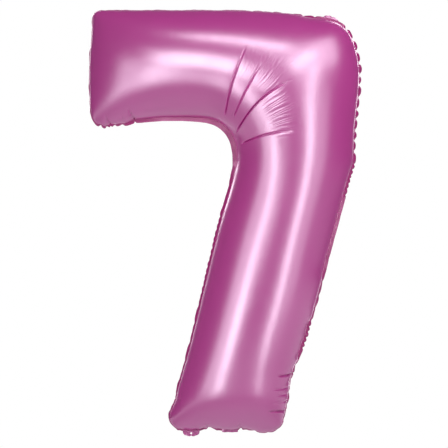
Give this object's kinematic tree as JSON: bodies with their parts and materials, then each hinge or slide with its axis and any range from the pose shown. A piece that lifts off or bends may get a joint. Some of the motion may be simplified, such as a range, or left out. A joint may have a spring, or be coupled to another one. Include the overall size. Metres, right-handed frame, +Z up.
{
  "type": "foil number balloon",
  "caption": "Blown-up foil balloon in the shape of the figure 7, two welded films with punched hang tabs and a folded filling tail with a self-closing valve.",
  "frame": {"origin": "centre of the punched hole in the hang tab at the upper outer corner, in the plane of the weld", "axes": "+Z up, the figure stands in the XZ plane and reads from -Y, +X to the reader's right, +Y out of the back"},
  "size_m": [0.546, 0.1924, 0.857],
  "materials": {
    "foil_panel": "satin magenta-pink metallised film",
    "foil_margin": "satin magenta-pink metallised film, welded double",
    "valve_film": "milky clear polyethylene film"
  },
  "bodies": {
    "envelope": {"front_panel": "foil_panel", "back_panel": "foil_panel", "perimeter_seal": "foil_margin", "valve_throat": "valve_film"},
    "top_tab": {"hang_tab_top": "foil_margin"},
    "bottom_tab": {"hang_tab_bottom": "foil_margin"},
    "tail": {"tail_front_film": "foil_margin", "tail_back_film": "foil_margin", "valve_sleeve": "valve_film"},
    "front_leaf": {"valve_front_leaf": "valve_film"},
    "back_leaf": {"valve_back_leaf": "valve_film"}
  },
  "joints": [
    {"name": "top_tab_bend", "type": "hinge", "parent": "envelope", "child": "top_tab", "pos_m": [-0.00171, 0, -0.0047], "axis": [0.9397, 0, -0.342], "range_deg": [-80, 80], "stiffness_Nm_per_rad": 0.0005},
    {"name": "bottom_tab_bend", "type": "hinge", "parent": "envelope", "child": "bottom_tab", "pos_m": [-0.28191, 0, -0.8284], "axis": [-1, 0, 0], "range_deg": [-80, 80], "stiffness_Nm_per_rad": 0.0005},
    {"name": "tail_fold", "type": "hinge", "parent": "envelope", "child": "tail", "pos_m": [-0.20391, 0, -0.8306], "axis": [-1, 0, 0], "range_deg": [0, 105]},
    {"name": "valve_front_open", "type": "hinge", "parent": "envelope", "child": "front_leaf", "pos_m": [-0.20391, -0.0002, -0.8189], "axis": [1, 0, 0], "range_deg": [0, 3]},
    {"name": "valve_back_open", "type": "hinge", "parent": "envelope", "child": "back_leaf", "pos_m": [-0.20391, 0.0002, -0.8189], "axis": [1, 0, 0], "range_deg": [-3, 0]}
  ],
  "couplings": [
    {"joint": "valve_back_open", "follows": "valve_front_open", "ratio": -1}
  ]
}
